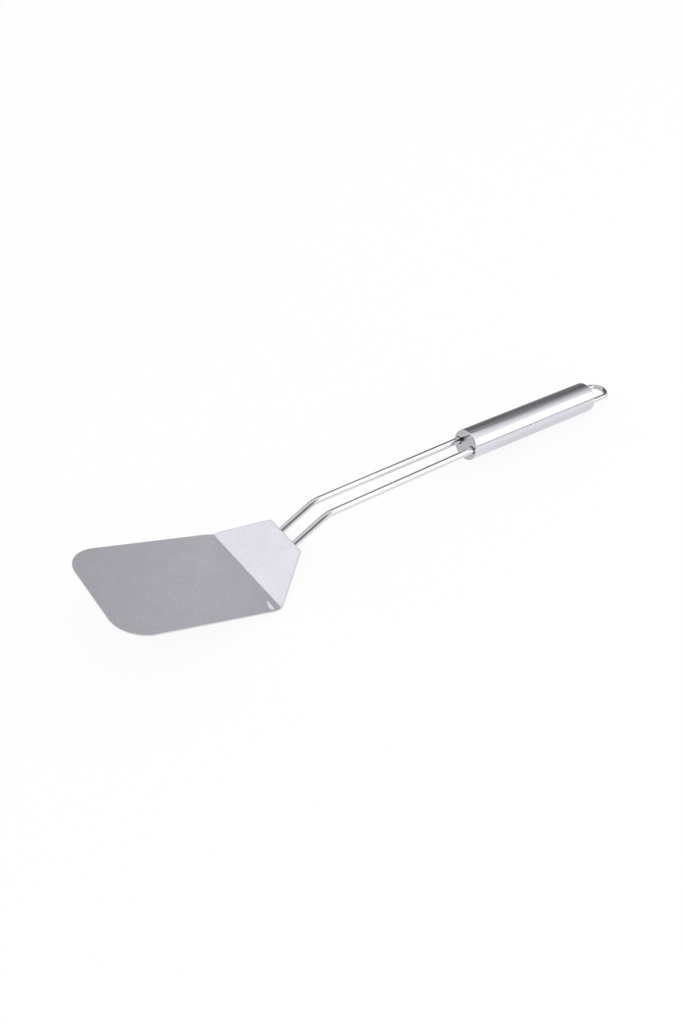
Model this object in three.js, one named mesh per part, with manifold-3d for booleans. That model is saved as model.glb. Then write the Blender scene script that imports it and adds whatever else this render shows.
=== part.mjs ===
// A stainless steel kitchen turner, in millimetres, +Z up. It lies on a table as it is put down, on the
// heel of its blade and the rear end of its handle, with the handle along +X. The origin is on the table,
// under the middle of the turner.
//
// One bent sheet makes the blade and its tapered neck. Two rods, welded under the neck, carry a tube
// handle that is closed by a cap at each end. A wire loop in the rear cap hangs the turner on a hook.

import * as THREE from 'three';
import { mergeVertices } from 'three/addons/utils/BufferGeometryUtils.js';
import Module from 'manifold-3d';

const wasm = await Module();
wasm.setup();

// Driving dimensions, in millimetres, and angles in degrees from the plane of the blade.

// Blade sheet. Lengths are measured from the heel, where the flats of blade and neck would meet.
const SHEET_THICKNESS = 0.8;
const BLADE_WIDTH = 71;
const BLADE_LENGTH = 90;
const FRONT_CORNER_RADIUS = 17;
const HEEL_CORNER_RADIUS = 18;
const HEEL_BEND_RADIUS = 1.5; // inside the bend, on the upper face
const NECK_LENGTH = 29;
const NECK_REAR_WIDTH = 30;
const NECK_CORNER_RADIUS = 1.6;
const NECK_ANGLE = 46.3;

// Shank rods. The rise is measured from the rear edge of the neck to the elbow.
const ROD_DIAMETER = 4;
const ROD_LAP = 10; // welded length under the neck
const ROD_RISE = 24;
const ROD_REACH = 105; // elbow to handle
const ROD_TAIL = 12; // inside the handle
const ROD_ELBOW_RADIUS = 10;
const ROD_ANGLE = 19.4;

// Handle, caps included
const HANDLE_DIAMETER = 19;
const HANDLE_WALL = 0.6;
const HANDLE_LENGTH = 102;
const HANDLE_DROOP = 1.65; // against the rods
const CAP_THICKNESS = 1.5;
const CAP_RIM_RADIUS = 0.4;

// Hanging loop. Its length is measured from the rear cap to the wire's centre line at the far end.
const LOOP_WIRE = 3;
const LOOP_LENGTH = 18;
const LOOP_TAIL = 10; // inside the handle

// Clearances
const WELD_GAP = 0.3; // rod to neck
const SEAM_GAP = 0.3; // cap to tube
const HOLE_GAP = 0.3; // wire to its hole in a cap
const ROD_TO_BORE = 0.65; // rod to the bore of the tube
const LOOP_TO_BORE = 1.15; // loop to the bore of the tube

// Fineness of the round shapes
const CORNER_STEPS = 12; // along a round corner of the sheet
const HEEL_STEPS = 8; // along the heel bend
const LEAST_STEP = 0.001; // between two sections of the sheet
const BEND_STEP = THREE.MathUtils.degToRad(6); // along a bent wire
const WIRE_SIDES = 16;
const HOLE_SIDES = 24;
const ROUND_SIDES = 64;

// What follows from the driving dimensions
const neckSlope = THREE.MathUtils.degToRad(NECK_ANGLE);
const rodSlope = THREE.MathUtils.degToRad(ROD_ANGLE);
const droop = THREE.MathUtils.degToRad(HANDLE_DROOP);
const handleSlope = rodSlope - droop;
const handleRadius = HANDLE_DIAMETER / 2;
const boreRadius = handleRadius - HANDLE_WALL;
const rodOffset = boreRadius - ROD_TO_BORE - ROD_DIAMETER / 2; // from the middle, to either side
const loopOffset = boreRadius - LOOP_TO_BORE - LOOP_WIRE / 2;

// Direction of a slope in the turner's upright middle plane, and the direction square to it, upwards.
const along = (slope) => new THREE.Vector2(Math.cos(slope), Math.sin(slope));
const across = (slope) => new THREE.Vector2(-Math.sin(slope), Math.cos(slope));

// Half the chord of a circle, at a distance from its centre.
const halfChord = (radius, distance) => Math.sqrt(Math.max(0, radius ** 2 - distance ** 2));

// A closed solid through a row of convex sections, each with its corners in the same order.
function loft(sections) {
  const corners = sections[0].length;
  const last = (sections.length - 1) * corners;
  const index = [];
  for (let row = 0; row < last; row += corners) {
    for (let i = 0; i < corners; i++) {
      const a = row + i;
      const b = row + ((i + 1) % corners);
      index.push(a, b, b + corners, a, b + corners, a + corners);
    }
  }
  for (let i = 1; i + 1 < corners; i++) {
    index.push(0, i + 1, i, last, last + i, last + i + 1);
  }
  const solid = new THREE.BufferGeometry().setFromPoints(sections.flat()).setIndex(index).toNonIndexed();
  solid.computeVertexNormals();
  return solid;
}

// The blade sheet: a thin rectangle carried from the front edge, over the heel bend and up the neck,
// as wide at each place as the sheet's outline.
const heelRadius = HEEL_BEND_RADIUS + SHEET_THICKNESS / 2; // of the sheet's middle layer
const heelReach = heelRadius * Math.tan(neckSlope / 2); // heel to the end of the bend, on either side

const taper = Math.atan((BLADE_WIDTH - NECK_REAR_WIDTH) / 2 / NECK_LENGTH);
const heelCorner = { start: -HEEL_CORNER_RADIUS * Math.tan(taper / 2) };
heelCorner.end = heelCorner.start + HEEL_CORNER_RADIUS * Math.sin(taper);
const neckCorner = { centre: NECK_LENGTH - NECK_CORNER_RADIUS };
neckCorner.start = neckCorner.centre + NECK_CORNER_RADIUS * Math.sin(taper);
neckCorner.halfWidth =
  BLADE_WIDTH / 2 - neckCorner.centre * Math.tan(taper) - NECK_CORNER_RADIUS / Math.cos(taper);

// Half the sheet's width at a distance from the heel, negative towards the front edge.
function sheetHalfWidth(distance) {
  const side = BLADE_WIDTH / 2;
  const fromFrontCorner = -BLADE_LENGTH + FRONT_CORNER_RADIUS - distance;
  if (fromFrontCorner > 0) {
    return side - FRONT_CORNER_RADIUS + halfChord(FRONT_CORNER_RADIUS, fromFrontCorner);
  }
  if (distance > neckCorner.start) {
    return neckCorner.halfWidth + halfChord(NECK_CORNER_RADIUS, distance - neckCorner.centre);
  }
  if (distance > heelCorner.end) {
    return side - distance * Math.tan(taper);
  }
  if (distance > heelCorner.start) {
    return side - HEEL_CORNER_RADIUS + halfChord(HEEL_CORNER_RADIUS, distance - heelCorner.start);
  }
  return side;
}

// A place on the sheet: its distance from the heel, to the side, and up from the middle layer.
function onSheet(distance, sideways, up) {
  const turned = THREE.MathUtils.clamp((distance + heelReach) / (2 * heelReach), 0, 1) * neckSlope;
  const onBlade = Math.min(distance, -heelReach);
  const onNeck = Math.max(distance - heelReach, 0);
  return new THREE.Vector3(
    onBlade + (heelRadius - up) * Math.sin(turned) + onNeck * Math.cos(turned),
    sideways,
    heelRadius - (heelRadius - up) * Math.cos(turned) + onNeck * Math.sin(turned),
  );
}

// Values at even steps from the first to the last, both included.
function evenly(first, last, steps) {
  return Array.from({ length: steps + 1 }, (_, i) => first + (i / steps) * (last - first));
}

// The sheet has a section at each step round its corners and along its bend, which overlap at the heel.
function bladeSheet() {
  const quarter = Math.PI / 2;
  const frontAngles = evenly(0, quarter, CORNER_STEPS);
  const neckAngles = evenly(taper, quarter, CORNER_STEPS);
  const distances = [
    ...frontAngles.map((angle) => -BLADE_LENGTH + FRONT_CORNER_RADIUS * (1 - Math.cos(angle))),
    ...evenly(heelCorner.start, heelCorner.end, CORNER_STEPS),
    ...evenly(-heelReach, heelReach, HEEL_STEPS),
    ...neckAngles.map((angle) => neckCorner.centre + NECK_CORNER_RADIUS * Math.sin(angle)),
  ].sort((a, b) => a - b);
  const apart = distances.filter((distance, i) => i === 0 || distance - distances[i - 1] > LEAST_STEP);
  const half = SHEET_THICKNESS / 2;
  return loft(
    apart.map((distance) => {
      const width = sheetHalfWidth(distance);
      return [
        onSheet(distance, width, half),
        onSheet(distance, -width, half),
        onSheet(distance, -width, -half),
        onSheet(distance, width, -half),
      ];
    }),
  );
}

// The centre line of a bent wire: straight runs and round bends drawn in a plane, which place() puts in
// space. Equal steps of t take one step along each run and steps of BEND_STEP round each bend.
class WireRoute extends THREE.Curve {
  constructor(runs, place) {
    super();
    this.place = place;
    this.spans = runs.flatMap((run) => {
      const turn = run.isEllipseCurve ? Math.abs(run.aEndAngle - run.aStartAngle) : BEND_STEP;
      const steps = Math.max(1, Math.round(turn / BEND_STEP));
      return Array.from({ length: steps }, (_, i) => ({ run, from: i / steps, length: 1 / steps }));
    });
  }

  get steps() {
    return this.spans.length;
  }

  getPoint(t) {
    const progress = t * this.steps;
    const step = THREE.MathUtils.clamp(Math.floor(progress), 0, this.steps - 1);
    const { run, from, length } = this.spans[step];
    return this.place(run.getPoint(from + (progress - step) * length));
  }

  getUtoTmapping(u) {
    return u;
  }
}

function wire(diameter, route) {
  const section = new THREE.Shape().absarc(0, 0, diameter / 2, 0, 2 * Math.PI);
  return new THREE.ExtrudeGeometry(section, {
    steps: route.steps,
    extrudePath: route,
    curveSegments: WIRE_SIDES / 2,
  });
}

// The shank rods lie under the neck, run on along it to the elbow and then straight into the handle.
const underNeck = across(neckSlope).multiplyScalar(-(SHEET_THICKNESS / 2 + WELD_GAP + ROD_DIAMETER / 2));
const onRodAlongNeck = (distance) => along(neckSlope).multiplyScalar(distance).add(underNeck);
const elbow = onRodAlongNeck(NECK_LENGTH + ROD_RISE);
const onRodPastElbow = (distance) => along(rodSlope).multiplyScalar(distance).add(elbow);
const handleSeat = onRodPastElbow(ROD_REACH);

function shankRod(sideways) {
  const quarter = Math.PI / 2;
  const elbowReach = ROD_ELBOW_RADIUS * Math.tan((neckSlope - rodSlope) / 2);
  const bendStart = onRodAlongNeck(NECK_LENGTH + ROD_RISE - elbowReach);
  const centre = across(neckSlope).multiplyScalar(-ROD_ELBOW_RADIUS).add(bendStart);
  const runs = [
    new THREE.LineCurve(onRodAlongNeck(NECK_LENGTH - ROD_LAP), bendStart),
    new THREE.EllipseCurve(
      centre.x,
      centre.y,
      ROD_ELBOW_RADIUS,
      ROD_ELBOW_RADIUS,
      neckSlope + quarter,
      rodSlope + quarter,
      true,
    ),
    new THREE.LineCurve(onRodPastElbow(elbowReach), onRodPastElbow(ROD_REACH + ROD_TAIL)),
  ];
  return wire(ROD_DIAMETER, new WireRoute(runs, ({ x, y }) => new THREE.Vector3(x, sideways, y)));
}

// Handle pieces stand in the handle's own frame: +X along its axis, from the face of the front cap.

// Turns a profile of (radius, distance along the axis) round the handle's axis.
function turned(profile) {
  return new THREE.LatheGeometry(profile, ROUND_SIDES).rotateZ(-Math.PI / 2);
}

function handleTube() {
  const start = CAP_THICKNESS + SEAM_GAP;
  const end = HANDLE_LENGTH - CAP_THICKNESS - SEAM_GAP;
  return turned([
    new THREE.Vector2(handleRadius, start),
    new THREE.Vector2(handleRadius, end),
    new THREE.Vector2(boreRadius, end),
    new THREE.Vector2(boreRadius, start),
    new THREE.Vector2(handleRadius, start),
  ]);
}

function manifoldOf(geometry) {
  const bare = geometry.clone();
  bare.deleteAttribute('normal');
  bare.deleteAttribute('uv');
  const merged = mergeVertices(bare);
  return new wasm.Manifold(
    new wasm.Mesh({
      numProp: 3,
      vertProperties: merged.attributes.position.array,
      triVerts: new Uint32Array(merged.index.array),
    }),
  );
}

function geometryOf(manifold) {
  const { vertProperties, triVerts } = manifold.getMesh();
  const indexed = new THREE.BufferGeometry();
  indexed.setAttribute('position', new THREE.BufferAttribute(vertProperties, 3));
  indexed.setIndex(new THREE.BufferAttribute(triVerts, 1));
  const geometry = indexed.toNonIndexed();
  geometry.computeVertexNormals();
  return geometry;
}

// A cap is a disc with a rounded rim, facing along -X, and a hole on either side for a wire that comes
// in through the middle of its face at a slope.
function cap(wireDiameter, sideways, slope) {
  const disc = new THREE.Path()
    .moveTo(0, 0)
    .lineTo(handleRadius - CAP_RIM_RADIUS, 0)
    .absarc(handleRadius - CAP_RIM_RADIUS, CAP_RIM_RADIUS, CAP_RIM_RADIUS, -Math.PI / 2, 0)
    .lineTo(handleRadius, CAP_THICKNESS)
    .lineTo(0, CAP_THICKNESS);
  let plate = manifoldOf(turned(disc.getPoints(CORNER_STEPS / 4)));
  for (const side of [-1, 1]) {
    const holeRadius = wireDiameter / 2 + HOLE_GAP;
    const hole = new THREE.CylinderGeometry(holeRadius, holeRadius, 4 * CAP_THICKNESS, HOLE_SIDES)
      .rotateZ(-Math.PI / 2)
      .rotateY(-slope)
      .translate(0, side * sideways, 0);
    plate = plate.subtract(manifoldOf(hole));
  }
  return geometryOf(plate);
}

// The hanging loop: two straight legs and a half circle between them.
function hangingLoop() {
  const legStart = HANDLE_LENGTH - LOOP_TAIL;
  const legEnd = HANDLE_LENGTH + LOOP_LENGTH - loopOffset;
  const runs = [
    new THREE.LineCurve(new THREE.Vector2(legStart, -loopOffset), new THREE.Vector2(legEnd, -loopOffset)),
    new THREE.EllipseCurve(legEnd, 0, loopOffset, loopOffset, -Math.PI / 2, Math.PI / 2),
    new THREE.LineCurve(new THREE.Vector2(legEnd, loopOffset), new THREE.Vector2(legStart, loopOffset)),
  ];
  return wire(LOOP_WIRE, new WireRoute(runs, ({ x, y }) => new THREE.Vector3(x, y, 0)));
}

// Finishes: a satin sheet, polished wires and caps, a tube brushed fine
function steel(color, roughness) {
  return new THREE.MeshStandardMaterial({ color, roughness, metalness: 1 });
}

function piece(name, geometry, material) {
  const mesh = new THREE.Mesh(geometry, material);
  mesh.name = name;
  return mesh;
}

// The handle in place at the end of the rods
const handle = new THREE.Group();
handle.position.set(handleSeat.x, 0, handleSeat.y);
handle.rotation.y = -handleSlope;

const rearCap = piece('rear_cap', cap(LOOP_WIRE, loopOffset, 0), steel(0xcfcfd4, 0.16));
rearCap.position.x = HANDLE_LENGTH;
rearCap.rotation.z = Math.PI;
handle.add(
  piece('front_cap', cap(ROD_DIAMETER, rodOffset, droop), steel(0xcdcdd2, 0.14)),
  piece('handle_tube', handleTube(), steel(0xc6c6cb, 0.28)),
  rearCap,
  piece('hanging_loop', hangingLoop(), steel(0xd2d2d7, 0.12)),
);

// The slope of the table under the level blade: it touches the round of the heel and the lowest round
// of the rear cap's rim.
function tableSlope() {
  const heelCentre = new THREE.Vector2(-heelReach, heelRadius);
  const heelRound = heelRadius + SHEET_THICKNESS / 2;
  const rimCentre = along(handleSlope)
    .multiplyScalar(HANDLE_LENGTH - CAP_RIM_RADIUS)
    .sub(across(handleSlope).multiplyScalar(handleRadius - CAP_RIM_RADIUS))
    .add(handleSeat);
  const span = rimCentre.sub(heelCentre);
  return span.angle() + Math.asin((heelRound - CAP_RIM_RADIUS) / span.length());
}

// The whole turner, tipped until it lies on the table, with the origin under its middle
const lying = new THREE.Group();
lying.add(
  piece('blade', bladeSheet(), steel(0xb2b2b8, 0.38)),
  piece('left_rod', shankRod(-rodOffset), steel(0xd2d2d7, 0.12)),
  piece('right_rod', shankRod(rodOffset), steel(0xd2d2d7, 0.12)),
  handle,
);
lying.rotation.y = tableSlope();

const turner = new THREE.Group();
turner.add(lying);
turner.updateMatrixWorld(true);
const reach = new THREE.Box3().setFromObject(turner, true);
const middle = reach.getCenter(new THREE.Vector3());
lying.position.set(-middle.x, -middle.y, -reach.min.z);

export default turner;
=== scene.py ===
# %% [markdown]
# # A kitchen turner in stainless steel
#
# The real tool is one rigid thing, made of a bent sheet (the blade and its neck), two rods, a tube handle
# with a cap at each end, and a wire loop to hang it by. The CAD model has all of these at their real size,
# but with flat facets. This lesson makes each piece again as a smooth surface in the same place, and gives
# it the finish that the steel has in the photograph.
#
# Everything is in metres, in the CAD model's frame: +X runs from the blade to the loop, and +Z is up from
# the table that the turner lies on.

# %% Load the CAD model as a fixed frame
import math

import bmesh
import bpy
import numpy as np
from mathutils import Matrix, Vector


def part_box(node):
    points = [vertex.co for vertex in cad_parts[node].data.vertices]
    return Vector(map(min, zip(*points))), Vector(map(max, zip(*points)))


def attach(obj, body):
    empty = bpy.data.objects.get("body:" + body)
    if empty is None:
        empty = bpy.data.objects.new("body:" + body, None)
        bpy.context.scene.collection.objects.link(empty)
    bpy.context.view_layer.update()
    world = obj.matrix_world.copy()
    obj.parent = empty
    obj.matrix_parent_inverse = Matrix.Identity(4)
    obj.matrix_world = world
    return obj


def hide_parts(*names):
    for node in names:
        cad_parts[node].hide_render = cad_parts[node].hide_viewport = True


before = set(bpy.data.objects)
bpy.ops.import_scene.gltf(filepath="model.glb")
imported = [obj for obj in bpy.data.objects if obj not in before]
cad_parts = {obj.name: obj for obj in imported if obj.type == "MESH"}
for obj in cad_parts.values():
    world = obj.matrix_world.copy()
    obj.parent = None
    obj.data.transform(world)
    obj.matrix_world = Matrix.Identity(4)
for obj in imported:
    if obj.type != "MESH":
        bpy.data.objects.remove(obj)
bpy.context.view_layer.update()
print("CAD nodes:", ", ".join(sorted(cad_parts)))

# %% [markdown]
# ## The camera
#
# The camera's place was found by moving a virtual camera until the edges of the CAD model lay on the edges
# in the photograph. A place alone is hard to read, so it is written as the point looked at, the distance
# and the two angles. Blender's sensor size belongs to the longer side of the picture, which is upright here,
# so the lens follows from the focal length in pixels and the height of the image.

# %% Place the camera
MM = 0.001  # a millimetre, in metres

VIEW_TARGET = Vector((-35.84, -4.86, 15.1)) * MM
VIEW_DISTANCE = 526.33 * MM
VIEW_AZIMUTH = -125.485  # degrees, of the camera as seen from the target
VIEW_ELEVATION = 41.912
FOCAL_PIXELS = 952.55
IMAGE_HEIGHT = 1024  # pixels
SENSOR = 36.0  # millimetres, as Blender counts them


def towards(azimuth, elevation):
    """Unit vector at an azimuth, in degrees from +X towards +Y, and an elevation above the table."""
    turn, lift = math.radians(azimuth), math.radians(elevation)
    return Vector((math.cos(lift) * math.cos(turn), math.cos(lift) * math.sin(turn), math.sin(lift)))


def add_to_scene(name, data):
    """A new object that holds this data, at the origin."""
    made = bpy.data.objects.new(name, data)
    bpy.context.scene.collection.objects.link(made)
    return made


camera = add_to_scene("camera", bpy.data.cameras.new("camera"))
camera_side = towards(VIEW_AZIMUTH, VIEW_ELEVATION)
camera.location = VIEW_TARGET + VIEW_DISTANCE * camera_side
camera.rotation_euler = camera_side.to_track_quat("Z", "Y").to_euler()
camera.data.sensor_width = SENSOR
camera.data.lens = SENSOR * FOCAL_PIXELS / IMAGE_HEIGHT
camera.data.clip_start = 10 * MM
bpy.context.scene.camera = camera
bpy.context.scene.view_settings.view_transform = "Standard"
print(f"camera: {camera.data.lens:.2f} mm lens at {[round(c / MM) for c in camera.location]} mm")

# %% [markdown]
# ## Shader formulas
#
# A finish is a formula: a grey, plus a little grain, minus a scratch. Dragging noodles hides that formula,
# and so does a long list of node and link calls. A small class around an output socket brings it back: with
# the operators overloaded, `0.3 + 0.1 * grain` adds the two Math nodes by itself. Every other node comes
# from one method that sets the node's settings first and then its sockets, by value or by link.

# %% Sockets that can be added and multiplied
class Output:
    """A node's output. Arithmetic with numbers or other outputs adds Math nodes to the same tree."""

    def __init__(self, tree, socket):
        self.tree = tree
        self.socket = socket

    def math(self, operation, first, second):
        return self.tree.node("Math", {"operation": operation}, {"Value": first, "Value_001": second})

    def __add__(self, other):
        return self.math("ADD", self, other)

    def __sub__(self, other):
        return self.math("SUBTRACT", self, other)

    def __rsub__(self, other):
        return self.math("SUBTRACT", other, self)

    def __mul__(self, other):
        return self.math("MULTIPLY", self, other)

    __radd__ = __add__
    __rmul__ = __mul__


class Tree:
    """The node tree of a material or of the world."""

    def __init__(self, owner):
        owner.use_nodes = True
        self.nodes = owner.node_tree.nodes
        self.links = owner.node_tree.links
        self.nodes.clear()

    def node(self, kind, settings=(), inputs=(), output=None):
        """Adds a node, sets it and its inputs by their identifiers, and returns the output of that name."""
        made = self.nodes.new("ShaderNode" + kind)
        for name, value in dict(settings).items():
            setattr(made, name, value)
        sockets = {socket.identifier: socket for socket in made.inputs}
        for name, value in dict(inputs).items():
            if isinstance(value, Output):
                self.links.new(value.socket, sockets[name])
            else:
                sockets[name].default_value = value
        found = [socket for socket in made.outputs if output in (None, socket.identifier)]
        return Output(self, found[0]) if found else None

    def noise(self, place, sizes, detail=2.0):
        """Soft noise about 0.5, whose blotches have these sizes along the three axes of place."""
        scale = tuple(1 / size for size in sizes)
        scaled = self.node("Mapping", {}, {"Vector": place, "Scale": scale})
        return self.node("TexNoise", {}, {"Vector": scaled, "Scale": 1.0, "Detail": detail}, "Fac")

    def ramp(self, value, low, high):
        """0 below low, 1 above high, and smooth in between."""
        limits = {"Value": value, "From Min": low, "From Max": high}
        return self.node("MapRange", {"interpolation_type": "SMOOTHSTEP"}, limits, "Result")

    def mix(self, share, first, second):
        """A colour between two colours."""
        colours = {"Factor_Float": share, "A_Color": first, "B_Color": second}
        return self.node("Mix", {"data_type": "RGBA"}, colours, "Result_Color")


# %% [markdown]
# ## The studio
#
# Polished steel has hardly any colour of its own: what it shows is the room. The photograph gives the room
# away. The blade and the top of the handle are dark although they face the light, so something dark stands
# behind the tool, to the right. The neck mirrors a white wall on the left. The rods have a dark line where
# they mirror the camera's side, and a white one, as the middle of the handle has, so there are bright
# sources in front and above. Below, everything mirrors a white table.
#
# The world is plain white with a strength of 1, so a colour renders about as it is written. The floor is
# white too: for camera, glossy and transmission rays most of it is a plain white glow, which keeps the
# background pale and still lets the tool cast a faint shadow. Dark cards, which only reflections see, stand
# for the dark parts of the room, as in a product studio. Each hides a share of what is behind it. The three
# that lie on the floor are painted shadow: they darken the table near the tool, where its shadow falls, as
# the reflections see it. Three soft boxes add the highlights.

# %% White world and floor
EAST, NORTH, UP = Vector((1, 0, 0)), Vector((0, 1, 0)), Vector((0, 0, 1))
FLOOR_HALF_SIDE = 30.0  # metres
FLOOR_COLOUR = (0.9, 0.9, 0.9, 1)
FLOOR_GLOW_SHARE = 0.88
WHITE = (1, 1, 1, 1)


def rectangle(name, centre, to_side, to_top):
    """A flat sheet of the stage: its middle, and the arrows from there to the middles of two edges."""
    corners = ((-1, -1), (1, -1), (1, 1), (-1, 1))
    mesh = bpy.data.meshes.new(name)
    mesh.from_pydata([centre + u * to_side + v * to_top for u, v in corners], [], [(0, 1, 2, 3)])
    place = mesh.attributes.new("place", "FLOAT_VECTOR", "POINT")
    place.data.foreach_set("vector", [c for u, v in corners for c in (u, v, 0)])
    made = add_to_scene(name, mesh)
    return made


def floor_white():
    """White paper that keeps a shadow: a diffuse white, mixed with a glow for the rays that see it."""
    material = bpy.data.materials.new("floor_white")
    tree = Tree(material)
    seen = tree.node("LightPath", output="Is Camera Ray")
    seen = seen + tree.node("LightPath", output="Is Glossy Ray")
    seen = seen + tree.node("LightPath", output="Is Transmission Ray")
    paper = tree.node("BsdfDiffuse", {}, {"Color": FLOOR_COLOUR})
    glow = tree.node("Emission", {}, {"Color": WHITE, "Strength": 1.0})
    blend = {"Fac": seen * FLOOR_GLOW_SHARE, "Shader": paper, "Shader_001": glow}
    tree.node("OutputMaterial", {}, {"Surface": tree.node("MixShader", {}, blend)})
    return material


world = bpy.data.worlds.new("white_room")
bpy.context.scene.world = world
world_tree = Tree(world)
room = world_tree.node("Background", {}, {"Color": WHITE, "Strength": 1.0})
world_tree.node("OutputWorld", {}, {"Surface": room})

floor = rectangle("floor", Vector(), FLOOR_HALF_SIDE * EAST, FLOOR_HALF_SIDE * NORTH)
floor.data.materials.append(floor_white())
print(f"floor: {2 * FLOOR_HALF_SIDE:.0f} m wide, under a white world")

# %% Dark cards and soft boxes
def seen_size(distance, wide, high):
    """Half width and half height of a sheet that looks this many degrees wide and high from a distance."""
    return (distance * math.tan(math.radians(angle / 2)) for angle in (wide, high))


def card(name, centre, to_side, to_top, cover, fades):
    """A black card that only reflections see, and that hides this share of the room behind it.

    The share grows from nothing at each edge. The fades say over which part of the card it does so at the
    start and the end of the way across, at the bottom and at the top.
    """
    made = rectangle(name, centre, to_side, to_top)
    material = bpy.data.materials.new(name)
    tree = Tree(material)
    place = tree.node("Attribute", {"attribute_name": "place"}, output="Vector")
    u = tree.node("SeparateXYZ", {}, {"Vector": place}, "X")
    v = tree.node("SeparateXYZ", {}, {"Vector": place}, "Y")
    for value, fade in zip((u, 0 - u, v, 0 - v), fades):
        cover = cover * tree.ramp(value, -1, 2 * fade - 1)
    black = tree.node("Emission", {}, {"Strength": 0.0})
    blend = {"Fac": cover, "Shader": tree.node("BsdfTransparent"), "Shader_001": black}
    tree.node("OutputMaterial", {}, {"Surface": tree.node("MixShader", {}, blend)})
    made.data.materials.append(material)
    made.visible_camera = False
    made.visible_diffuse = False
    made.visible_shadow = False


def facing_card(name, azimuth, elevation, distance, wide, high, cover, fades):
    """A card that faces the tool, in the direction of its middle and with its size in degrees."""
    side = towards(azimuth, elevation)
    level = Vector((-side.y, side.x, 0)).normalized()
    half_width, half_height = seen_size(distance, wide, high)
    card(name, side * distance, level * half_width, side.cross(level) * half_height, cover, fades)


def soft_box(name, azimuth, elevation, distance, wide, high, glow):
    """A rectangular lamp that faces the tool and looks this much brighter than the room behind it."""
    half_width, half_height = seen_size(distance, wide, high)
    lamp = bpy.data.lights.new(name, "AREA")
    lamp.shape = "RECTANGLE"
    lamp.size = 2 * half_width
    lamp.size_y = 2 * half_height
    lamp.energy = glow * math.pi * lamp.size * lamp.size_y  # radiance 1 is pi watts a square metre
    side = towards(azimuth, elevation)
    made = add_to_scene(name, lamp)
    made.location = side * distance
    made.rotation_euler = side.to_track_quat("Z", "Y").to_euler()


FLOOR_LIFT = 0.5 * MM  # of the cards that lie on the floor

# Angles are in degrees and distances in metres.
FACING_CARDS = (  # azimuth, elevation, distance, width, height, cover, fades
    ("back_card", 61.5, 25, 1.2, 98, 70, 0.615, (0.5, 0.3, 0.01, 0.1)),
    ("rod_card", 42, 48, 1.1, 36, 22, 0.57, (0.25, 0.25, 0.3, 0.3)),
    ("left_card", 190, 37, 1.0, 84, 84, 0.8, (0.5, 0.35, 0.2, 0.5)),
    ("camera_card", -106, 43, 0.8, 78, 100, 0.765, (0.45, 0.45, 0.4, 0.45)),
    ("horizon_strip", -50, 0.7, 1.5, 60, 9, 0.8, (0.15, 0.15, 0.15, 0.15)),
)
PLACED_CARDS = (  # middle, the arrows to the middles of two edges, cover, fades
    ("handle_card", Vector((0.345, 0.12, 0.13)), 0.275 * EAST, 0.13 * UP, 0.66, (0.14, 0.14, 0.01, 0.6)),
    ("end_card", Vector((0.5, 0.065, 0.31)), 0.255 * NORTH, 0.31 * UP, 0.58, (0.67, 0.21, 0.01, 0.27)),
    # Painted shadow: the next three cards lie on the floor where the tool's shadow falls, and only
    # reflections see them.
    ("floor_shadow_card", Vector((0.33, 0.1, FLOOR_LIFT)), 0.29 * EAST, 0.09 * NORTH, 0.7, (0.1, 0.1, 0.05, 0.05)),
    ("cap_shadow_card", Vector((0.035, 0.03, FLOOR_LIFT)), 0.045 * EAST, 0.038 * NORTH, 0.36, (0.3, 0.3, 0.08, 0.3)),
    ("near_shadow_card", Vector((0.14, -0.015, FLOOR_LIFT)), 0.08 * EAST, 0.03 * NORTH, 0.14, (0.2, 0.2, 0.6, 0.05)),
)
SOFT_BOXES = (  # azimuth, elevation, distance, width, height, glow
    ("front_box", -52, 22, 1.3, 54, 36, 0.47),
    ("low_box", -127, 14, 1.3, 22, 32, 1.2),
    ("top_box", -10, 56.5, 1.3, 50, 15, 0.56),
)
for make, rows in ((facing_card, FACING_CARDS), (card, PLACED_CARDS), (soft_box, SOFT_BOXES)):
    for row in rows:
        make(*row)
print(f"studio: {len(FACING_CARDS) + len(PLACED_CARDS)} cards, {len(SOFT_BOXES)} soft boxes")

# %% [markdown]
# ## From a grid of points to a piece
#
# Each piece is a surface over two parameters, such as the distance along a rod and the angle round it. Numpy
# works out all its points at once, as a grid. The quads between neighbouring points follow from the grid's
# shape. A closed direction joins its last line of points to its first, and where points fall together, as
# at a pole, they are merged. A closed surface has no open edge and a positive volume when its faces point
# outwards, so both are counted and printed.

# %% Make a piece
MERGE_DISTANCE = 0.0005 * MM
BOX_ENDS = (0, 6)  # the lowest and the highest of the eight corners in an object's bound_box


def grid_quads(rows, columns, rows_closed=False, columns_closed=False):
    """Corner numbers of the quads of a grid whose points are numbered row by row."""
    number = np.arange(rows * columns).reshape(rows, columns)
    if rows_closed:
        number = np.vstack([number, number[:1]])
    if columns_closed:
        number = np.hstack([number, number[:, :1]])
    corners = [number[:-1, :-1], number[:-1, 1:], number[1:, 1:], number[1:, :-1]]
    return np.stack(corners, axis=-1).reshape(-1, 4)


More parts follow.
